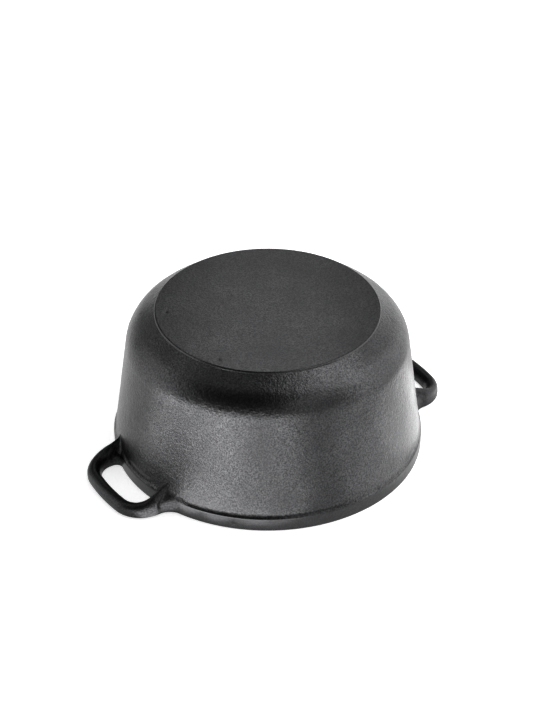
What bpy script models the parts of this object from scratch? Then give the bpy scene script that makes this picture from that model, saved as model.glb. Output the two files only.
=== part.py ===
"""Cast iron dutch oven pot, standing mouth down on its rim, with two loop handles.

The real pot is one grey iron casting. Here it is divided where its finish and its section
change: base plate, side wall, rim band and the two handles. Neighbouring pieces keep a gap
of SEAM between their faces. Origin: centre of the mouth, on the rim's face. +Z points from
the mouth to the base. The handles lie on +X and -X. Lengths are in metres.
"""

import math

import bmesh
import bpy

MM = 0.001
SEAM = 0.3 * MM

# Rim band, the thick strip round the mouth
RIM_RADIUS = 130.2 * MM
RIM_HEIGHT = 11.8 * MM
RIM_EDGE = 1.0 * MM
MOUTH_RADIUS = 124.2 * MM

# Side wall, a cone that narrows towards the base
WALL_FOOT_RADIUS = 128.8 * MM
WALL_DRAFT = math.radians(8.0)
WALL_THICKNESS = 4.2 * MM

# Shoulder, an arc that turns the wall over into a shallow cone
SHOULDER_START = 97.5 * MM
SHOULDER_RADIUS = 32.0 * MM
SHOULDER_END = math.radians(56.0)

# Base plate, whose heating face stands a step above the shoulder
PAD_RADIUS = 92.0 * MM
PAD_STEP = 1.1 * MM
PAD_EDGE = 0.5 * MM
FLOOR_THICKNESS = 5.5 * MM
INSIDE_CORNER = 30.0 * MM

# Loop handle, in its own frame: u away from the pot's axis, v along the rim
GRIP_RADIUS = 156.2 * MM
SIDE_OFFSET = 38.0 * MM
CORNER_RADIUS = 20.0 * MM
GRIP_WIDTH = 11.7 * MM
SIDE_WIDTH = 13.0 * MM
GRIP_TOP = 11.0 * MM
GRIP_LEAN = 1.2 * MM
HANDLE_LIFT = 0.5 * MM
BOTTOM_EDGE = 1.5 * MM
RIDGE_START = 152.0 * MM
RIDGE_SLOPE = 0.5
RIDGE_EASE = 4.0 * MM
OUTER_FILLET = 9.0 * MM
INNER_FILLET = 7.0 * MM
TOP_FILLET = 3.0 * MM
ROOT_DEPTH = 3.0 * MM
CORNER_ROOT = 0.35

# Facets
TURN_STEPS = 96
ARC_STEP = math.radians(8.0)
SECTION_LEVELS = 7
FRONT_STATIONS = 3
CORNER_STATIONS = 6
SIDE_STATIONS = 3
ROOT_STATIONS = 7

CAST_IRON = (0.045, 0.045, 0.047, 1.0)
GROUND_IRON = (0.075, 0.075, 0.077, 1.0)


def clear_scene():
    for thing in list(bpy.data.objects):
        bpy.data.objects.remove(thing)


def iron(name, colour, roughness):
    """A dark iron with the pot's seasoned finish."""
    material = bpy.data.materials.new(name)
    material.use_nodes = True
    shader = material.node_tree.nodes["Principled BSDF"]
    shader.inputs["Base Color"].default_value = colour
    shader.inputs["Metallic"].default_value = 0.6
    shader.inputs["Roughness"].default_value = roughness
    return material


def add_object(name, mesh_maker, material):
    """Links a new object whose mesh comes from a filled bmesh."""
    mesh = bpy.data.meshes.new(name)
    mesh_maker.to_mesh(mesh)
    mesh_maker.free()
    mesh.materials.append(material)
    mesh.shade_smooth()
    mesh.set_sharp_from_angle(angle=math.radians(35.0))
    piece = bpy.data.objects.new(name, mesh)
    bpy.context.scene.collection.objects.link(piece)
    return piece


def arc(centre, radius, first, last):
    """Points of an arc in the (radius, height) plane, both ends included."""
    steps = max(2, math.ceil(abs(last - first) / ARC_STEP))
    angles = [first + (last - first) * i / steps for i in range(steps + 1)]
    return [(centre[0] + radius * math.cos(a), centre[1] + radius * math.sin(a)) for a in angles]


def wall_radius(height):
    """Outside radius of the straight part of the side wall."""
    return WALL_FOOT_RADIUS - math.tan(WALL_DRAFT) * (height - RIM_HEIGHT)


def shoulder_centre():
    start = wall_radius(SHOULDER_START)
    return (
        start - SHOULDER_RADIUS * math.cos(WALL_DRAFT),
        SHOULDER_START - SHOULDER_RADIUS * math.sin(WALL_DRAFT),
    )


def shoulder_top():
    """Height where the shallow cone of the shoulder reaches the base plate."""
    last = arc(shoulder_centre(), SHOULDER_RADIUS, WALL_DRAFT, SHOULDER_END)[-1]
    return last[1] + (last[0] - PAD_RADIUS) / math.tan(SHOULDER_END)


def base_height():
    return shoulder_top() + PAD_STEP


def inside_corner_centre():
    """Centre of the arc that joins the inside of the wall to the cooking floor."""
    height = base_height() - FLOOR_THICKNESS - INSIDE_CORNER
    inside_wall = wall_radius(height) - WALL_THICKNESS / math.cos(WALL_DRAFT)
    return (inside_wall - INSIDE_CORNER / math.cos(WALL_DRAFT), height)


def inside_angle_at(radius):
    """Angle on the inside corner arc at that distance from the pot's axis."""
    return math.acos((radius - inside_corner_centre()[0]) / INSIDE_CORNER)


def turned(outline):
    """A bmesh turned about Z from a closed outline that runs clockwise, +X to the right."""
    maker = bmesh.new()
    points = [maker.verts.new((radius, 0.0, height)) for radius, height in outline]
    edges = [maker.edges.new((a, b)) for a, b in zip(points, points[1:])]
    if outline[0][0] > 0.0:
        edges.append(maker.edges.new((points[-1], points[0])))
    bmesh.ops.spin(
        maker,
        geom=points + edges,
        axis=(0.0, 0.0, 1.0),
        cent=(0.0, 0.0, 0.0),
        angle=2.0 * math.pi,
        steps=TURN_STEPS,
        use_merge=True,
    )
    bmesh.ops.remove_doubles(maker, verts=maker.verts, dist=0.001 * MM)
    bmesh.ops.recalc_face_normals(maker, faces=maker.faces)
    return maker


def base_plate(material):
    """Cooking floor with its raised heating face."""
    top = base_height()
    edge = PAD_RADIUS - SEAM / 2.0
    inside = arc(inside_corner_centre(), INSIDE_CORNER, inside_angle_at(edge), math.pi / 2.0)
    outline = [(0.0, top), (edge - PAD_EDGE, top), (edge, top - PAD_EDGE)]
    outline += inside
    outline.append((0.0, inside[-1][1]))
    return add_object("base_plate", turned(outline), material)


def side_wall(material):
    """Wall and shoulder, from the base plate to the rim band."""
    edge = PAD_RADIUS + SEAM / 2.0
    foot = RIM_HEIGHT + SEAM / 2.0
    outside = arc(shoulder_centre(), SHOULDER_RADIUS, SHOULDER_END, WALL_DRAFT)
    inside = arc(inside_corner_centre(), INSIDE_CORNER, WALL_DRAFT, inside_angle_at(edge))
    outline = [(edge, shoulder_top())] + outside
    outline += [(wall_radius(foot), foot), (MOUTH_RADIUS, foot)]
    outline += inside
    return add_object("side_wall", turned(outline), material)


def rim_band(material):
    """Thick ring round the mouth, whose flat face the pot stands on."""
    top = RIM_HEIGHT - SEAM / 2.0
    outline = [
        (MOUTH_RADIUS, top),
        (wall_radius(RIM_HEIGHT), top),
        (RIM_RADIUS - RIM_EDGE, top),
        (RIM_RADIUS, top - RIM_EDGE),
        (RIM_RADIUS, RIM_EDGE),
        (RIM_RADIUS - RIM_EDGE, 0.0),
        (MOUTH_RADIUS + RIM_EDGE, 0.0),
        (MOUTH_RADIUS, RIM_EDGE),
    ]
    return add_object("rim_band", turned(outline), material)


def pot_radius(height):
    """Outside radius of the pot that a handle's root meets, the rim's ledge eased out."""
    above = max(0.0, height - RIM_HEIGHT)
    ledge = RIM_RADIUS - wall_radius(RIM_HEIGHT)
    return RIM_RADIUS - math.tan(WALL_DRAFT) * above - ledge * min(1.0, above / RIM_HEIGHT)


def ridge_height(radius):
    """Top of the handle at a distance from the pot's axis: level on the grip, rising to the wall."""
    inward = RIDGE_START - radius
    return GRIP_TOP + RIDGE_SLOPE * (inward + math.hypot(inward, RIDGE_EASE)) / 2.0


def section_levels():
    """Shares of the section's height from its foot to its ridge, closer together at both ends."""
    return [(1.0 - math.cos(math.pi * i / SECTION_LEVELS)) / 2.0 for i in range(SECTION_LEVELS + 1)]


def half_width(share, width, height, root):
    """Half the bar's width at a share of its height. root is 0 on the grip and 1 at the wall."""
    power = 3.2 - 1.4 * root
    crown = 0.5 + 0.3 * root
    rise = share * height
    foot = 0.0
    if rise < BOTTOM_EDGE:
        foot = BOTTOM_EDGE - math.sqrt(BOTTOM_EDGE**2 - (BOTTOM_EDGE - rise) ** 2)
    return width / 2.0 * (1.0 - share**power) ** crown - foot


def grip_ring(centre, outward, width, root):
    """Section of the bar, square to its path, from the outer foot over the ridge to the inner foot."""
    height = ridge_height(math.hypot(*centre)) - HANDLE_LIFT
    levels = section_levels()
    sides = [(1.0, s) for s in levels] + [(-1.0, s) for s in reversed(levels[:-1])]
    ring = []
    for side, share in sides:
        across = side * half_width(share, width, height, root) + GRIP_LEAN * share * (1.0 - root)
        ring.append(
            (
                centre[0] + outward[0] * across,
                centre[1] + outward[1] * across,
                HANDLE_LIFT + share * height,
            )
        )
    return ring


def root_point(side, share, turn):
    """Point of the flared root: turn runs from 0, clear of the pot, to a right angle on its wall."""
    lift = math.pi / 2.0 * max(0.0, 2.0 * share - 1.0)
    side_fillet = OUTER_FILLET if side > 0.0 else INNER_FILLET
    fillet = side_fillet + (TOP_FILLET - side_fillet) * math.sin(lift)
    spread = fillet * (1.0 - math.cos(turn))
    clear = fillet * (1.0 - math.sin(turn))
    height = GRIP_TOP
    for _ in range(4):
        radius = pot_radius(height) + clear
        ridge = ridge_height(radius) - HANDLE_LIFT
        height = HANDLE_LIFT + share * ridge + spread * math.sin(lift)
    across = side * (half_width(share, SIDE_WIDTH, ridge, 1.0) + spread * math.cos(lift))
    along_rim = SIDE_OFFSET + across
    return (math.sqrt(radius**2 - along_rim**2), along_rim, height)


def root_ring(turn):
    levels = section_levels()
    sides = [(1.0, s) for s in levels] + [(-1.0, s) for s in reversed(levels[:-1])]
    return [root_point(side, share, turn) for side, share in sides]


def half_handle_rings():
    """Rings of the bar from the middle of the grip to inside the pot's wall."""
    corner_v = SIDE_OFFSET - CORNER_RADIUS
    corner_u = math.sqrt((GRIP_RADIUS - CORNER_RADIUS) ** 2 - corner_v**2)
    corner_start = math.atan2(corner_v, corner_u)
    rings = []
    for i in range(FRONT_STATIONS):
        angle = corner_start * i / FRONT_STATIONS
        outward = (math.cos(angle), math.sin(angle))
        centre = (GRIP_RADIUS * outward[0], GRIP_RADIUS * outward[1])
        rings.append(grip_ring(centre, outward, GRIP_WIDTH, 0.0))
    for i in range(CORNER_STATIONS + 1):
        share = i / CORNER_STATIONS
        angle = corner_start + (math.pi / 2.0 - corner_start) * share
        outward = (math.cos(angle), math.sin(angle))
        centre = (corner_u + CORNER_RADIUS * outward[0], corner_v + CORNER_RADIUS * outward[1])
        width = GRIP_WIDTH + (SIDE_WIDTH - GRIP_WIDTH) * share
        rings.append(grip_ring(centre, outward, width, CORNER_ROOT * share))
    first_root = root_ring(0.0)
    for i in range(1, SIDE_STATIONS):
        share = i / SIDE_STATIONS
        pairs = zip(rings[-i], first_root)
        rings.append([tuple(a + (b - a) * share for a, b in zip(p, q)) for p, q in pairs])
    for i in range(ROOT_STATIONS + 1):
        rings.append(root_ring(math.pi / 2.0 * i / ROOT_STATIONS))
    rings.append([((u * (1.0 - ROOT_DEPTH / math.hypot(u, v))), v, z) for u, v, z in rings[-1]])
    return rings


def handle_mesh():
    """The whole loop as rings bridged into a closed skin, its ends sunk into the pot's wall."""
    half = half_handle_rings()
    mirrored = [[(u, -v, z) for u, v, z in ring] for ring in reversed(half[1:])]
    maker = bmesh.new()
    rings = [[maker.verts.new(point) for point in ring] for ring in mirrored + half]
    for ring, following in zip(rings, rings[1:]):
        for i in range(len(ring)):
            j = (i + 1) % len(ring)
            maker.faces.new((ring[i], ring[j], following[j], following[i]))
    maker.faces.new(rings[0])
    maker.faces.new(list(reversed(rings[-1])))
    bmesh.ops.recalc_face_normals(maker, faces=maker.faces)
    return maker


def root_cutter(material):
    """The pot's outside, SEAM proud of it, which trims the handles' roots to fit."""
    outside = arc(shoulder_centre(), SHOULDER_RADIUS, SHOULDER_END, WALL_DRAFT)
    skin = [(RIM_RADIUS, RIM_HEIGHT), (RIM_RADIUS, -RIM_HEIGHT)]
    outline = [(0.0, shoulder_top())] + outside + [(wall_radius(RIM_HEIGHT), RIM_HEIGHT)] + skin
    outline = [(radius + SEAM if radius else 0.0, height) for radius, height in outline]
    outline.append((0.0, -RIM_HEIGHT))
    cutter = add_object("root_cutter", turned(outline), material)
    cutter.hide_render = True
    cutter.display_type = "WIRE"
    return cutter


def handle(name, angle, cutter, material):
    piece = add_object(name, handle_mesh(), material)
    piece.rotation_euler.z = angle
    trim = piece.modifiers.new("trim_root", "BOOLEAN")
    trim.operation = "DIFFERENCE"
    trim.object = cutter
    return piece


def main():
    clear_scene()
    cast = iron("seasoned_cast_iron", CAST_IRON, 0.55)
    ground = iron("ground_cast_iron", GROUND_IRON, 0.5)
    base_plate(ground)
    side_wall(cast)
    rim_band(cast)
    cutter = root_cutter(cast)
    handle("handle_right", 0.0, cutter, cast)
    handle("handle_left", math.pi, cutter, cast)


main()
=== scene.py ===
"""Looks of a cast iron dutch oven pot, standing mouth down on its rim.

The real pot is a single sand casting, seasoned black. Each of its five CAD regions is made
again here as one closed mesh that carries the casting's own skin: pebbles left by the sand,
a groove over the rim, filleted handle roots and a few pits and burrs. Neighbouring meshes
run a little way into each other, so that no seam shows. Lengths are in metres.
"""

import math

import bpy
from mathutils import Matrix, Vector, noise


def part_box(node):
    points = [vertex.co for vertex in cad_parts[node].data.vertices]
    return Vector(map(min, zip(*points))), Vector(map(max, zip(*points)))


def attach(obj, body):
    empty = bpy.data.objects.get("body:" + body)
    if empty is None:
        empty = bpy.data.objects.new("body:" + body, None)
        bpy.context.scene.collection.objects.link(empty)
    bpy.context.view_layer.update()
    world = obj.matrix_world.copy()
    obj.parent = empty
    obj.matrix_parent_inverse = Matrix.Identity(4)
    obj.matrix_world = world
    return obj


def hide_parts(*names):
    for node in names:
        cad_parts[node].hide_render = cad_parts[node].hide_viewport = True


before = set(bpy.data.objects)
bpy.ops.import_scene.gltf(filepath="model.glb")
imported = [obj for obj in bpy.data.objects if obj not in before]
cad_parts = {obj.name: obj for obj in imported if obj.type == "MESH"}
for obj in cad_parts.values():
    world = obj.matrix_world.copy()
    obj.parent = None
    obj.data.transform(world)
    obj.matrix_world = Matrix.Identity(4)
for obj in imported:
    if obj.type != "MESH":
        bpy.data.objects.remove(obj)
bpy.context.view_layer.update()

MM = 0.001

# Sizes read from the frame
BASE_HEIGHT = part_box("base_plate")[1].z
PAD_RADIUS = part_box("base_plate")[1].x
RIM_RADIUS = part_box("rim_band")[1].x - 0.15 * MM
RIM_TOP = (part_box("rim_band")[1].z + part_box("side_wall")[0].z) / 2.0

# Wall and shoulder
WALL_FOOT_RADIUS = 128.8 * MM
WALL_DRAFT = math.radians(8.0)
WALL_THICKNESS = 4.2 * MM
SHOULDER_START = 97.5 * MM
SHOULDER_RADIUS = 32.0 * MM
SHOULDER_END = math.radians(56.0)

# Base
PAD_STEP = 1.1 * MM
PAD_DROP = 0.05 * MM
PAD_EDGE = 0.2 * MM
BASE_OVERLAP = 1.0 * MM
WALL_OVERLAP = 1.5 * MM
FLOOR_THICKNESS = 5.5 * MM
INSIDE_CORNER = 30.0 * MM

# Rim band, and the groove that the pattern left above it
MOUTH_RADIUS = 124.2 * MM
RIM_TOP_EDGE = 0.4 * MM
RIM_MOUTH_EDGE = 1.0 * MM
GROOVE_DEPTH = 0.7 * MM
GROOVE_REACH = 8.0 * MM
COVE_SPREAD = 1.7 * MM
COVE_HEIGHT = 4.2 * MM
GROOVE_STOP = 14.0 * MM
GROOVE_RUN_OUT = 11.0 * MM
GROOVE_ROWS = 16
GROOVE_CROWDING = 1.6
LIP_UNDERCUT = 0.14 * MM
LIP_DEPTH = 0.15 * MM
LIP_REACH = 1.0 * MM
RIM_OVERLAP = 0.6 * MM

# Loop handle, in its own frame: u away from the pot's axis, v along the rim
GRIP_RADIUS = 156.2 * MM
SIDE_OFFSET = 38.0 * MM
CORNER_RADIUS = 20.0 * MM
GRIP_WIDTH = 11.6 * MM
SIDE_WIDTH = 12.8 * MM
GRIP_TOP = 10.9 * MM
GRIP_LEAN = 1.2 * MM
HANDLE_LIFT = 0.6 * MM
BOTTOM_EDGE = 1.5 * MM
RIDGE_START = 152.0 * MM
RIDGE_SLOPE = 0.5
RIDGE_EASE = 4.0 * MM
OUTER_FILLET = 9.0 * MM
INNER_FILLET = 7.0 * MM
TOP_FILLET = 3.0 * MM
ROOT_DEPTH = 2.5 * MM
ROOT_BITE = 0.15 * MM
CORNER_ROOT = 0.35

# Mesh density
TURN_STEPS = 696
SKIN_SPACING = 1.2 * MM
INSIDE_SPACING = 6.0 * MM
PAD_CELLS = 150
SECTION_LEVELS = 24
BOTTOM_CELLS = 10
FRONT_STATIONS = 16
CORNER_STATIONS = 28
SIDE_STATIONS = 8
ROOT_STATIONS = 22


def smooth(share):
    """Eases from 0 to 1 with level ends."""
    share = min(1.0, max(0.0, share))
    return share * share * (3.0 - 2.0 * share)


def mixed(first, second, share):
    return first + (second - first) * share


def arc(centre, radius, first, last, spacing):
    """Points of an arc in the (radius, height) plane, both ends included."""
    steps = max(3, math.ceil(radius * abs(last - first) / spacing))
    angles = [mixed(first, last, i / steps) for i in range(steps + 1)]
    return [(centre[0] + radius * math.cos(a), centre[1] + radius * math.sin(a)) for a in angles]


def straight(start, end, spacing):
    """Points of a straight run in the (radius, height) plane, both ends included."""
    steps = max(1, math.ceil(math.dist(start, end) / spacing))
    return [tuple(mixed(a, b, i / steps) for a, b in zip(start, end)) for i in range(steps + 1)]


# ---------------------------------------------------------------------------------------
# Outline of the pot
# ---------------------------------------------------------------------------------------


def wall_radius(height):
    """Outside radius of the drafted wall."""
    return WALL_FOOT_RADIUS - math.tan(WALL_DRAFT) * (height - RIM_TOP)


def grooved_radius(height):
    """Outside radius of the wall, drawn in over the rim and coved out on to its top edge."""
    over_rim = height - RIM_TOP
    drawn_in = GROOVE_DEPTH * smooth(1.0 - over_rim / GROOVE_REACH)
    cove = COVE_SPREAD * max(0.0, 1.0 - over_rim / COVE_HEIGHT) ** 2
    return wall_radius(height) - drawn_in + cove


def root_radius(height):
    """Outside radius that a handle's root runs on to, the groove filled by a soft slope."""
    over_rim = max(0.0, height - RIM_TOP)
    ledge = RIM_RADIUS - WALL_FOOT_RADIUS
    eased = ledge * (1.0 - smooth(over_rim / (5.0 * MM)))
    return WALL_FOOT_RADIUS - math.tan(WALL_DRAFT) * over_rim + eased


def shoulder_centre():
    start = wall_radius(SHOULDER_START)
    return (
        start - SHOULDER_RADIUS * math.cos(WALL_DRAFT),
        SHOULDER_START - SHOULDER_RADIUS * math.sin(WALL_DRAFT),
    )


def shoulder_outline():
    """The arc of the shoulder, then the shallow cone that runs in under the pad's edge."""
    centre = shoulder_centre()
    turn = arc(centre, SHOULDER_RADIUS, WALL_DRAFT, SHOULDER_END, SKIN_SPACING)
    last = turn[-1]
    edge_height = last[1] + (last[0] - PAD_RADIUS) / math.tan(SHOULDER_END)
    cone = straight(last, (PAD_RADIUS, edge_height), SKIN_SPACING)
    return turn[:-1] + cone + [(PAD_RADIUS - WALL_OVERLAP, edge_height - 0.1 * MM)]


def root_nearness(point):
    """1 beside a handle's root and 0 well away from it."""
    away = abs(abs(point.y) - SIDE_OFFSET)
    return 1.0 - smooth((away - GROOVE_STOP) / GROOVE_RUN_OUT)


def inside_corner_centre():
    """Centre of the arc that joins the inside of the wall to the cooking floor."""
    height = BASE_HEIGHT - FLOOR_THICKNESS - INSIDE_CORNER
    inside_wall = wall_radius(height) - WALL_THICKNESS / math.cos(WALL_DRAFT)
    return (inside_wall - INSIDE_CORNER / math.cos(WALL_DRAFT), height)


def inside_height(radius):
    """Height of the cooking floor, which curves down into the wall at its edge."""
    centre = inside_corner_centre()
    if radius <= centre[0]:
        return BASE_HEIGHT - FLOOR_THICKNESS
    return centre[1] + math.sqrt(max(0.0, INSIDE_CORNER**2 - (radius - centre[0]) ** 2))


# ---------------------------------------------------------------------------------------
# Skin of the casting
# ---------------------------------------------------------------------------------------


def on_pot(angle, height, radius):
    """A point on the pot from its angle about the axis in degrees, its height and its radius."""
    turn = math.radians(angle)
    return Vector((radius * math.cos(turn), radius * math.sin(turn), height))


# Marks of the foundry: where, how wide, how high. A pit is below zero, a burr above.
MARKS = [
    (on_pot(-135.3, 5.0 * MM, RIM_RADIUS), 1.3 * MM, -0.9 * MM),
    (on_pot(-78.4, 12.6 * MM, 128.9 * MM), 1.7 * MM, 0.8 * MM),
    (on_pot(-93.7, 14.2 * MM, 128.2 * MM), 1.6 * MM, 0.5 * MM),
    (on_pot(-67.0, 12.4 * MM, 128.8 * MM), 1.8 * MM, 0.9 * MM),
    (on_pot(-70.0, 10.6 * MM, RIM_RADIUS), 1.6 * MM, -0.6 * MM),
    (on_pot(47.0, 12.6 * MM, 128.8 * MM), 1.8 * MM, 0.8 * MM),
    (on_pot(118.0, 13.0 * MM, 128.8 * MM), 2.0 * MM, 0.6 * MM),
    (on_pot(75.0, 6.5 * MM, RIM_RADIUS), 1.5 * MM, -0.8 * MM),
    (on_pot(-145.5, 54.8 * MM, wall_radius(54.8 * MM)), 1.5 * MM, 0.35 * MM),
    (on_pot(-143.8, 48.6 * MM, wall_radius(48.6 * MM)), 1.7 * MM, 0.4 * MM),
    (on_pot(-141.8, 46.9 * MM, wall_radius(46.9 * MM)), 1.5 * MM, 0.35 * MM),
    (on_pot(-60.0, BASE_HEIGHT, 9.4 * MM), 1.7 * MM, -0.3 * MM),
    (on_pot(18.0, BASE_HEIGHT, 35.1 * MM), 1.8 * MM, -0.35 * MM),
    (on_pot(116.0, BASE_HEIGHT, 36.7 * MM), 1.8 * MM, -0.45 * MM),
    (on_pot(152.0, BASE_HEIGHT, 82.8 * MM), 1.7 * MM, -0.4 * MM),
    (on_pot(-150.0, BASE_HEIGHT, 84.6 * MM), 1.9 * MM, -0.5 * MM),
]


def skin_lift(point, pebbles, swell):
    """How far the cast surface stands off its true shape at a point."""
    patchy = 0.75 + 0.5 * noise.noise(point / (26.0 * MM))
    grain = noise.noise(point / (3.0 * MM)) + 0.8 * noise.noise(point / (8.0 * MM))
    lift = pebbles * patchy * grain + swell * noise.noise(point / (34.0 * MM))
    for centre, width, height in MARKS:
        away = (point - centre).length
        if away < 2.5 * width:
            lift += height * math.exp(-((1.3 * away / width) ** 2))
    return lift


def cast_skin(mesh, pebbles, swell, where):
    """Lifts every vertex along its normal by the casting's skin, as fully as where says."""
    normals = [vertex.normal.copy() for vertex in mesh.vertices]
    for vertex, normal in zip(mesh.vertices, normals):
        share = where(vertex.co)
        if share > 0.0:
            vertex.co += normal * share * skin_lift(vertex.co, pebbles, swell)
    mesh.update()


# ---------------------------------------------------------------------------------------
# Meshes
# ---------------------------------------------------------------------------------------


def new_piece(name, points, faces, material, node):
    """One closed mesh that stands for a CAD node."""
    mesh = bpy.data.meshes.new(name)
    mesh.from_pydata(points, [], faces)
    mesh.validate()
    mesh.materials.append(material)
    mesh.shade_smooth()
    piece = bpy.data.objects.new(name, mesh)
    bpy.context.scene.collection.objects.link(piece)
    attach(piece, "root")
    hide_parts(node)
    return piece


def turned(outline):
    """Points and faces of a ring turned about Z from a closed outline, clockwise with +X right."""
    points = []
    for radius, height in outline:
        for step in range(TURN_STEPS):
            turn = 2.0 * math.pi * step / TURN_STEPS
            points.append((radius * math.cos(turn), radius * math.sin(turn), height))
    faces = []
    rows = len(outline)
    for row in range(rows):
        here = row * TURN_STEPS
        there = (row + 1) % rows * TURN_STEPS
        for step in range(TURN_STEPS):
            after = (step + 1) % TURN_STEPS
            faces.append((here + step, there + step, there + after, here + after))
    return points, faces


def make_wall(material):
    """Drafted wall with its shoulder, and the smooth inside of the pot."""
    outside = list(reversed(shoulder_outline()))
    groove_top = RIM_TOP + GROOVE_REACH
    outside += straight(outside[-1], (wall_radius(groove_top), groove_top), SKIN_SPACING)[1:]
    for row in range(1, GROOVE_ROWS + 1):
        height = RIM_TOP + GROOVE_REACH * (1.0 - row / GROOVE_ROWS) ** GROOVE_CROWDING
        outside.append((grooved_radius(height), height))
    cove_foot = outside[-1][0]
    outside.append((cove_foot + LIP_UNDERCUT, RIM_TOP - LIP_DEPTH))
    outside.append((cove_foot - LIP_REACH, RIM_TOP - RIM_OVERLAP))
    inside_foot = (MOUTH_RADIUS, RIM_TOP - RIM_OVERLAP)
    centre = inside_corner_centre()
    top_angle = math.acos((PAD_RADIUS - WALL_OVERLAP - centre[0]) / INSIDE_CORNER)
    inside = arc(centre, INSIDE_CORNER, WALL_DRAFT, top_angle, INSIDE_SPACING)
    inside = straight(inside_foot, inside[0], INSIDE_SPACING) + inside[1:]
    points, faces = turned(outside + inside)
    wall = new_piece("cast_side_wall", points, faces, material, "side_wall")

    for vertex in wall.data.vertices:
        point = vertex.co
        radius = math.hypot(point.x, point.y)
        if point.z < groove_top and radius > MOUTH_RADIUS + 2.0 * MM:
            under = max(0.0, RIM_TOP - point.z)
            filled = root_radius(point.z) - 0.3 * under
            point.xy *= mixed(radius, filled, root_nearness(point)) / radius

    def outer_share(point):
        """Full on the outside, less by the rim, and faint within the pot."""
        radius = math.hypot(point.x, point.y)
        if point.z < SHOULDER_START:
            within = radius < wall_radius(point.z) - WALL_THICKNESS / 2.0
        else:
            within = point.z < inside_height(radius) + WALL_THICKNESS / 2.0
        if within:
            return 0.25 * smooth((point.z - RIM_TOP) / (2.0 * MM))
        return 0.3 + 0.7 * smooth((point.z - RIM_TOP) / (2.5 * MM))

    cast_skin(wall.data, 0.11 * MM, 0.25 * MM, outer_share)


def make_rim(material):
    """Thick band round the mouth, its top face and corners worn round."""
    top_corner = (RIM_RADIUS - RIM_TOP_EDGE, RIM_TOP - RIM_TOP_EDGE)
    mouth_corner = (RIM_RADIUS - RIM_MOUTH_EDGE, RIM_MOUTH_EDGE)
    inner_corner = (MOUTH_RADIUS + RIM_MOUTH_EDGE, RIM_MOUTH_EDGE)
    half = math.pi / 2.0
    outline = straight((MOUTH_RADIUS, RIM_TOP), (top_corner[0], RIM_TOP), SKIN_SPACING)
    outline += arc(top_corner, RIM_TOP_EDGE, half, 0.0, 0.3 * MM)[1:]
    outline += straight(outline[-1], (RIM_RADIUS, RIM_MOUTH_EDGE), SKIN_SPACING)[1:]
    outline += arc(mouth_corner, RIM_MOUTH_EDGE, 0.0, -half, 0.4 * MM)[1:]
    outline += straight(outline[-1], (inner_corner[0], 0.0), SKIN_SPACING)[1:]
    outline += arc(inner_corner, RIM_MOUTH_EDGE, -half, -2.0 * half, 0.4 * MM)[1:]
    outline += straight(outline[-1], (MOUTH_RADIUS, RIM_TOP), 2.0 * SKIN_SPACING)[1:-1]
    points, faces = turned(outline)
    rim = new_piece("cast_rim_band", points, faces, material, "rim_band")

    def face_share(point):
        """None on the flat that the pot stands on, so that it stays flat."""
        return smooth((point.z - 0.4 * MM) / (2.0 * MM))

    cast_skin(rim.data, 0.045 * MM, 0.1 * MM, face_share)


def disc_point(column, row, radius):
    """Where a square grid's corner lies when the grid is pressed out to a disc."""
    across = 2.0 * column / PAD_CELLS - 1.0
    along = 2.0 * row / PAD_CELLS - 1.0
    x = across * math.sqrt(1.0 - along * along / 2.0)
    y = along * math.sqrt(1.0 - across * across / 2.0)
    return x * radius, y * radius


def make_base(material):
    """Base plate: the raised pad outside, its rounded step, and the cooking floor within."""
    side = PAD_CELLS + 1
    border = [(i, 0) for i in range(PAD_CELLS)] + [(PAD_CELLS, i) for i in range(PAD_CELLS)]
    border += [(PAD_CELLS - i, PAD_CELLS) for i in range(PAD_CELLS)]
    border += [(0, PAD_CELLS - i) for i in range(PAD_CELLS)]
    top_radius = PAD_RADIUS - PAD_EDGE
    under_radius = PAD_RADIUS - BASE_OVERLAP
    points = [(*disc_point(i, j, top_radius), BASE_HEIGHT) for j in range(side) for i in range(side)]
    faces = []
    for j in range(PAD_CELLS):
        for i in range(PAD_CELLS):
            corner = j * side + i
            faces.append((corner, corner + 1, corner + side + 1, corner + side))
    ring = [j * side + i for i, j in border]
    # The pad's step, in mm out and down from its top edge. The last points lie inside the wall.
    step = [(0.2, 0.06), (0.4, 0.2), (0.65, 0.65), (0.95, 1.4), (1.1, 1.85), (0.4, 2.3)]
    skirt = [(top_radius + out * MM, BASE_HEIGHT - down * MM) for out, down in step]
    skirt.append((under_radius, inside_height(under_radius)))
    for radius, height in skirt:
        row = []
        for i, j in border:
            x, y = disc_point(i, j, radius)
            row.append(len(points))
            points.append((x, y, height))
        for k in range(len(row)):
            after = (k + 1) % len(row)
            faces.append((ring[k], row[k], row[after], ring[after]))
        ring = row
    # The cooking floor, a second grid joined to the skirt's last ring
    under = {}
    for j in range(side):
        for i in range(side):
            if i in (0, PAD_CELLS) or j in (0, PAD_CELLS):
                continue
            x, y = disc_point(i, j, under_radius)
            under[(i, j)] = len(points)
            points.append((x, y, inside_height(math.hypot(x, y))))
    for place, index in zip(border, ring):
        under[place] = index
    for j in range(PAD_CELLS):
        for i in range(PAD_CELLS):
            square = [(i, j), (i, j + 1), (i + 1, j + 1), (i + 1, j)]
            faces.append(tuple(under[place] for place in square))
    base = new_piece("cast_base_plate", points, faces, material, "base_plate")

    def pad_share(point):
        """Full on the pad, fading into its rounded edge."""
        if point.z < BASE_HEIGHT - PAD_STEP:
            return 0.3
        edge = PAD_RADIUS - math.hypot(point.x, point.y)
        return 0.4 + 0.6 * smooth(edge / (3.0 * MM))

    cast_skin(base.data, 0.045 * MM, 0.12 * MM, pad_share)
    for vertex in base.data.vertices:
        vertex.co.z = min(vertex.co.z - PAD_DROP, BASE_HEIGHT)
    base.data.update()


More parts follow.
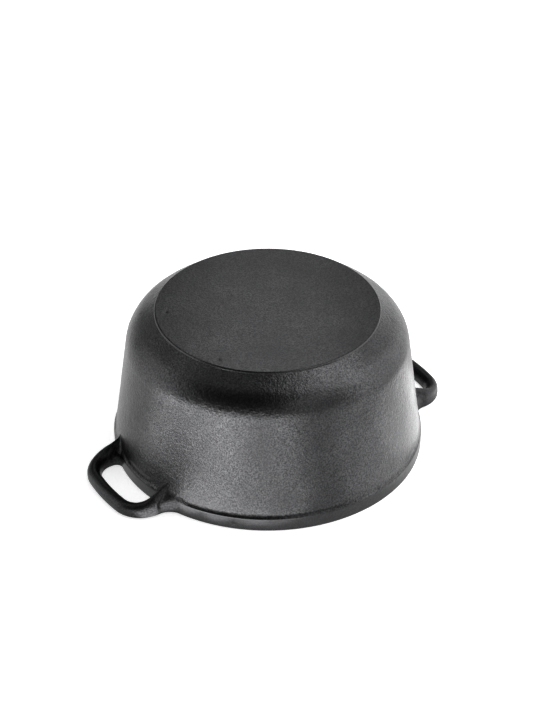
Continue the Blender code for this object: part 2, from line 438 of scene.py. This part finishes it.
def ridge_height(radius):
    """Top of a handle at a distance from the pot's axis: level on the grip, rising to the wall."""
    inward = RIDGE_START - radius
    return GRIP_TOP + RIDGE_SLOPE * (inward + math.hypot(inward, RIDGE_EASE)) / 2.0


def half_width(share, width, root):
    """Half the bar's width at a share of its height. root is 0 on the grip and 1 at the wall."""
    power = 3.2 - 1.4 * root
    crown = 0.5 + 0.3 * root
    return width / 2.0 * (1.0 - share**power) ** crown


def foot_inset(rise):
    """How far the rounded bottom edge draws in at a height above the underside."""
    if rise >= BOTTOM_EDGE:
        return 0.0
    return BOTTOM_EDGE - math.sqrt(BOTTOM_EDGE**2 - (BOTTOM_EDGE - rise) ** 2)


def section_stations():
    """Stations round the bar's section: side of the bar, share of its height."""
    shares = [(1.0 - math.cos(math.pi * i / SECTION_LEVELS)) / 2.0 for i in range(SECTION_LEVELS + 1)]
    return [(1.0, s) for s in shares] + [(-1.0, s) for s in reversed(shares[:-1])]


def closed_underneath(ring):
    """A section ring with a row of points added across its flat underside."""
    first, last = ring[0], ring[-1]
    cells = [i / BOTTOM_CELLS for i in range(1, BOTTOM_CELLS)]
    return ring + [tuple(mixed(a, b, share) for a, b in zip(last, first)) for share in cells]


def grip_ring(centre, outward, width, root):
    """Section of the bar, square to its path."""
    height = ridge_height(math.hypot(*centre)) - HANDLE_LIFT
    ring = []
    for side, share in section_stations():
        across = side * (half_width(share, width, root) - foot_inset(share * height))
        across += GRIP_LEAN * share * (1.0 - root)
        place = (centre[0] + outward[0] * across, centre[1] + outward[1] * across)
        ring.append((*place, HANDLE_LIFT + share * height))
    return ring


def root_point(side, share, turn):
    """Point of the flared root. turn runs from 0, clear of the pot, to a right angle on it."""
    lift = math.pi / 2.0 * max(0.0, 2.0 * share - 1.0)
    side_fillet = OUTER_FILLET if side > 0.0 else INNER_FILLET
    fillet = mixed(side_fillet, TOP_FILLET, math.sin(lift))
    spread = fillet * (1.0 - math.cos(turn))
    clear = fillet * (1.0 - math.sin(turn)) - ROOT_BITE * smooth(2.0 * turn / math.pi)
    height = GRIP_TOP
    # The wall leans, so the root's height and its distance from the axis are settled in turn.
    for _ in range(5):
        radius = root_radius(height) + clear
        ridge = ridge_height(radius) - HANDLE_LIFT
        height = HANDLE_LIFT + share * ridge + spread * math.sin(lift)
    inset = foot_inset(share * ridge)
    across = side * (half_width(share, SIDE_WIDTH, 1.0) - inset + spread * math.cos(lift))
    along_rim = SIDE_OFFSET + across
    return (math.sqrt(radius**2 - along_rim**2), along_rim, height)


def half_handle_rings():
    """Section rings from the middle of the grip to inside the pot's wall."""
    corner_v = SIDE_OFFSET - CORNER_RADIUS
    corner_u = math.sqrt((GRIP_RADIUS - CORNER_RADIUS) ** 2 - corner_v**2)
    corner_start = math.atan2(corner_v, corner_u)
    rings = []
    for i in range(FRONT_STATIONS):
        angle = corner_start * i / FRONT_STATIONS
        outward = (math.cos(angle), math.sin(angle))
        centre = (GRIP_RADIUS * outward[0], GRIP_RADIUS * outward[1])
        rings.append(grip_ring(centre, outward, GRIP_WIDTH, 0.0))
    for i in range(CORNER_STATIONS + 1):
        share = i / CORNER_STATIONS
        angle = mixed(corner_start, math.pi / 2.0, share)
        outward = (math.cos(angle), math.sin(angle))
        centre = (corner_u + CORNER_RADIUS * outward[0], corner_v + CORNER_RADIUS * outward[1])
        width = mixed(GRIP_WIDTH, SIDE_WIDTH, share)
        rings.append(grip_ring(centre, outward, width, CORNER_ROOT * share))
    last_corner = rings[-1]
    first_root = [root_point(side, share, 0.0) for side, share in section_stations()]
    for i in range(1, SIDE_STATIONS):
        share = i / SIDE_STATIONS
        pairs = zip(last_corner, first_root)
        rings.append([tuple(mixed(a, b, share) for a, b in zip(p, q)) for p, q in pairs])
    for i in range(ROOT_STATIONS + 1):
        turn = math.pi / 2.0 * i / ROOT_STATIONS
        rings.append([root_point(side, share, turn) for side, share in section_stations()])
    sunk = []
    for u, v, z in rings[-1]:
        share = 1.0 - ROOT_DEPTH / math.hypot(u, v)
        sunk.append((u * share, v * share, z))
    return rings + [sunk]


def make_handle(name, node, facing, material):
    """Loop handle with its two finned roots. facing is 1 for +X and -1 for -X."""
    half = [closed_underneath(ring) for ring in half_handle_rings()]
    mirrored = [[(u, -v, z) for u, v, z in ring] for ring in reversed(half[1:])]
    rings = mirrored + half
    points = [(facing * u, facing * v, z) for ring in rings for u, v, z in ring]
    count = len(rings[0])
    faces = []
    for row in range(len(rings) - 1):
        for i in range(count):
            j = (i + 1) % count
            here, there = row * count, (row + 1) * count
            faces.append((here + j, here + i, there + i, there + j))
    last = (len(rings) - 1) * count
    faces.append(tuple(range(count)))
    faces.append(tuple(last + i for i in reversed(range(count))))
    handle = new_piece(name, points, faces, material, node)

    def handle_share(point):
        """None on the underside, so that it stays clear of the surface below."""
        return smooth((point.z - 0.8 * MM) / (2.5 * MM))

    cast_skin(handle.data, 0.09 * MM, 0.3 * MM, handle_share)


# ---------------------------------------------------------------------------------------
# Materials
# ---------------------------------------------------------------------------------------


def linear(code):
    """Linear colour of an sRGB hex code."""
    parts = [int(code[i : i + 2], 16) / 255.0 for i in (1, 3, 5)]
    parts = [p / 12.92 if p <= 0.04045 else ((p + 0.055) / 1.055) ** 2.4 for p in parts]
    return (*parts, 1.0)


def add_node(tree, kind, inputs=None, **settings):
    """Adds a node, sets its properties, and sets or links its inputs."""
    node = tree.nodes.new(kind)
    for name, value in settings.items():
        setattr(node, name, value)
    for key, value in (inputs or {}).items():
        if isinstance(value, bpy.types.NodeSocket):
            tree.links.new(value, node.inputs[key])
        else:
            node.inputs[key].default_value = value
    return node


def cast_iron(name, colour, worn, roughness, polish, grain_bump, grit_bump):
    """Grey iron cast in sand and seasoned with baked oil.

    The oil film darkens the metal and gives it a satin sheen. The sand leaves grains 2.2 mm
    across with grit of 1.2 mm on them. High grit is rubbed paler and smoother than the pits
    between. The real grit is about 0.3 mm, drawn coarser so that it shows. Blotches 38 mm
    across are where the oil pooled and baked thicker, and there the rubbing shows less.
    """
    material = bpy.data.materials.new(name)
    material.use_nodes = True
    tree = material.node_tree
    shader = tree.nodes["Principled BSDF"]
    shader.inputs["Metallic"].default_value = 1.0
    place = add_node(tree, "ShaderNodeTexCoord").outputs["Object"]
    grains = add_node(
        tree,
        "ShaderNodeTexVoronoi",
        {"Vector": place, "Scale": 1.0 / (2.2 * MM), "Smoothness": 0.5},
        feature="SMOOTH_F1",
    ).outputs["Distance"]
    grit = add_node(
        tree,
        "ShaderNodeTexNoise",
        {"Vector": place, "Scale": 1.0 / (1.2 * MM), "Detail": 1.5, "Roughness": 0.6},
    ).outputs["Fac"]
    blotches = add_node(
        tree,
        "ShaderNodeTexNoise",
        {"Vector": place, "Scale": 1.0 / (38.0 * MM), "Detail": 3.0, "Roughness": 0.55},
    ).outputs["Fac"]
    high_grit = add_node(
        tree,
        "ShaderNodeMapRange",
        {"Value": grit, "From Min": 0.35, "From Max": 0.65, "To Min": 0.0, "To Max": 1.5},
    ).outputs["Result"]
    rubbed = add_node(
        tree, "ShaderNodeMath", {0: high_grit, 1: blotches}, operation="MULTIPLY"
    ).outputs["Value"]
    tint = add_node(tree, "ShaderNodeMix", {"Factor": rubbed}, data_type="RGBA")
    tint.inputs["A"].default_value = linear(colour)
    tint.inputs["B"].default_value = linear(worn)
    film = add_node(
        tree,
        "ShaderNodeMapRange",
        {"Value": rubbed, "To Min": roughness, "To Max": roughness - polish},
    ).outputs["Result"]
    grain_skin = add_node(
        tree,
        "ShaderNodeBump",
        {"Height": grains, "Distance": grain_bump, "Strength": 1.0},
        invert=True,
    ).outputs["Normal"]
    skin = add_node(
        tree,
        "ShaderNodeBump",
        {"Height": grit, "Distance": grit_bump, "Strength": 1.0, "Normal": grain_skin},
    ).outputs["Normal"]
    tree.links.new(tint.outputs["Result"], shader.inputs["Base Color"])
    tree.links.new(film, shader.inputs["Roughness"])
    tree.links.new(skin, shader.inputs["Normal"])
    return material


def lit_paper(name, colour, near_glow, far_glow):
    """Translucent studio paper on a light table: pale, matt and even, brighter away from the pot."""
    material = bpy.data.materials.new(name)
    material.use_nodes = True
    tree = material.node_tree
    shader = tree.nodes["Principled BSDF"]
    shader.inputs["Base Color"].default_value = linear(colour)
    shader.inputs["Roughness"].default_value = 1.0
    shader.inputs["Specular IOR Level"].default_value = 0.0
    shader.inputs["Emission Color"].default_value = linear("#FFFFFF")
    place = add_node(tree, "ShaderNodeTexCoord").outputs["Object"]
    away = add_node(tree, "ShaderNodeVectorMath", {0: place}, operation="LENGTH").outputs["Value"]
    glow = add_node(
        tree,
        "ShaderNodeMapRange",
        {
            "Value": away,
            "From Min": GLOW_RISES_FROM,
            "From Max": GLOW_RISES_TO,
            "To Min": near_glow,
            "To Max": far_glow,
        },
    ).outputs["Result"]
    tree.links.new(glow, shader.inputs["Emission Strength"])
    return material


# ---------------------------------------------------------------------------------------
# Studio
# ---------------------------------------------------------------------------------------


CAMERA_AZIMUTH = -123.4
CAMERA_ELEVATION = 34.65
DEEP_BLACKS = 0.85
GLOW_RISES_FROM = 0.3
GLOW_RISES_TO = 1.4


def toward(azimuth, elevation):
    """Unit vector at an azimuth from +X towards +Y and an elevation, both in degrees."""
    turn, rise = math.radians(azimuth), math.radians(elevation)
    return Vector((math.cos(turn) * math.cos(rise), math.sin(turn) * math.cos(rise), math.sin(rise)))


def make_floor():
    """Wide sheet of paper just under the rim."""
    reach = 8.0
    drop = -0.2 * MM
    mesh = bpy.data.meshes.new("studio_floor")
    corners = [(-reach, -reach, drop), (reach, -reach, drop), (reach, reach, drop), (-reach, reach, drop)]
    mesh.from_pydata(corners, [], [(0, 1, 2, 3)])
    mesh.materials.append(lit_paper("studio_paper", "#F3F3F3", 0.68, 1.1))
    floor = bpy.data.objects.new("studio_floor", mesh)
    bpy.context.scene.collection.objects.link(floor)


def round_light(name, power, width, place, facing):
    """Round area light that faces one way and stays out of the picture itself."""
    light = bpy.data.lights.new(name, "AREA")
    light.shape = "DISK"
    light.size = width
    light.energy = power
    stand = bpy.data.objects.new(name, light)
    bpy.context.scene.collection.objects.link(stand)
    stand.location = place
    stand.rotation_euler = facing.to_track_quat("-Z", "Y").to_euler()
    stand.visible_camera = False


def softbox(azimuth, elevation, power, width, distance=1.5):
    """Softbox facing the pot. The azimuth runs from the camera's right, over its back."""
    outward = toward(azimuth + CAMERA_AZIMUTH + 90.0, elevation)
    place = Vector((0.0, 0.0, 60.0 * MM)) + outward * distance
    round_light("softbox", power, width, place, -outward)


def table_panel(azimuth, distance, width, brightness):
    """Brighter panel in the light table, facing up. Brightness 1 is that of white paper."""
    place = toward(azimuth + CAMERA_AZIMUTH + 90.0, 0.0) * distance
    power = brightness * math.pi * math.pi * (width / 2.0) ** 2
    round_light("table_panel", power, width, place, Vector((0.0, 0.0, 1.0)))


def make_camera():
    """Long lens, looking down on the pot from beyond the left handle."""
    lens = bpy.data.cameras.new("camera")
    lens.lens = 96.38
    lens.sensor_width = 36.0
    camera = bpy.data.objects.new("camera", lens)
    bpy.context.scene.collection.objects.link(camera)
    target = Vector((1.63, -1.07, 75.8)) * MM
    outward = toward(CAMERA_AZIMUTH, CAMERA_ELEVATION)
    camera.location = target + outward * 1.599
    camera.rotation_euler = outward.to_track_quat("Z", "Y").to_euler()
    bpy.context.scene.camera = camera


def light_studio():
    """Softboxes at the sides, behind and overhead, and a light table that shines up in front.

    The strengths began as a least-squares fit and were rounded. About half of the lights were
    then added, moved or changed one by one.
    """
    # Large softboxes low at both sides: azimuth, power
    for azimuth, power in ((0.0, 12.0), (45.0, 8.9), (180.0, 8.0)):
        softbox(azimuth, 15.0, power, 1.4)

    # Small lamps close by: azimuth, elevation, power, width
    close_lamps = (
        (0.0, 50.0, 0.74, 0.42),
        (90.0, 50.0, 0.43, 0.30),
        (150.0, 25.0, 0.22, 0.30),
        (180.0, 50.0, 0.21, 0.30),
        (300.0, 25.0, 0.33, 0.30),
        (330.0, 50.0, 0.92, 0.45),
    )
    for azimuth, elevation, power, width in close_lamps:
        softbox(azimuth, elevation, power, width, 0.62)

    # Weak softboxes at the right front, behind and overhead: azimuth, elevation, power, width
    weak_boxes = (
        (330.0, 12.0, 0.5, 0.7),
        (90.0, 25.0, 1.0, 0.6),
        (120.0, 4.0, 0.6, 0.6),
        (210.0, 66.0, 0.6, 0.6),
        (330.0, 66.0, 1.9, 0.6),
        (90.0, 86.0, 1.5, 0.8),
    )
    for azimuth, elevation, power, width in weak_boxes:
        softbox(azimuth, elevation, power, width)

    # Panels in the light table: azimuth, distance, width, brightness
    table_panels = (
        (0.0, 0.215, 0.156, 1.5),
        (20.0, 0.205, 0.06, 2.5),
        (200.0, 0.215, 0.06, 2.5),
        (238.0, 0.162, 0.05, 4.5),
        (250.0, 0.162, 0.05, 3.5),
        (263.0, 0.162, 0.05, 1.5),
        (246.0, 0.225, 0.15, 2.3),
        (270.0, 0.215, 0.156, 1.8),
        (330.0, 0.215, 0.156, 0.9),
        (210.0, 0.45, 0.30, 6.9),
        (240.0, 0.45, 0.30, 8.5),
        (270.0, 0.45, 0.30, 3.0),
        (270.0, 0.90, 0.60, 5.0),
    )
    for azimuth, distance, width, brightness in table_panels:
        table_panel(azimuth, distance, width, brightness)

    world = bpy.data.worlds.new("studio")
    world.use_nodes = True
    world.node_tree.nodes["Background"].inputs["Strength"].default_value = 0.0
    bpy.context.scene.world = world
    bpy.context.scene.view_settings.view_transform = "Standard"
    bpy.context.scene.view_settings.gamma = DEEP_BLACKS


make_camera()
make_floor()
light_studio()

sand_cast = cast_iron("seasoned_sand_cast_iron", "#383839", "#565657", 0.36, 0.07, 0.12 * MM, 0.21 * MM)
fine_face = cast_iron("seasoned_smooth_iron", "#3B3B3C", "#515152", 0.35, 0.06, 0.05 * MM, 0.10 * MM)
fettled = cast_iron("seasoned_ground_iron", "#3E3E3F", "#4C4C4D", 0.34, 0.04, 0.03 * MM, 0.06 * MM)
# The handles use the seasoned iron painted darker than the wall's: painted shade standing in for their
# dark tops. Its roughness is a little higher as well.
handle_iron_painted_darker = cast_iron("handle_iron_painted_shade", "#2F2F30", "#454546", 0.42, 0.05, 0.08 * MM, 0.14 * MM)

make_base(fine_face)
make_wall(sand_cast)
make_rim(fettled)
make_handle("cast_left_handle", "handle_left", -1.0, handle_iron_painted_darker)
make_handle("cast_right_handle", "handle_right", 1.0, handle_iron_painted_darker)
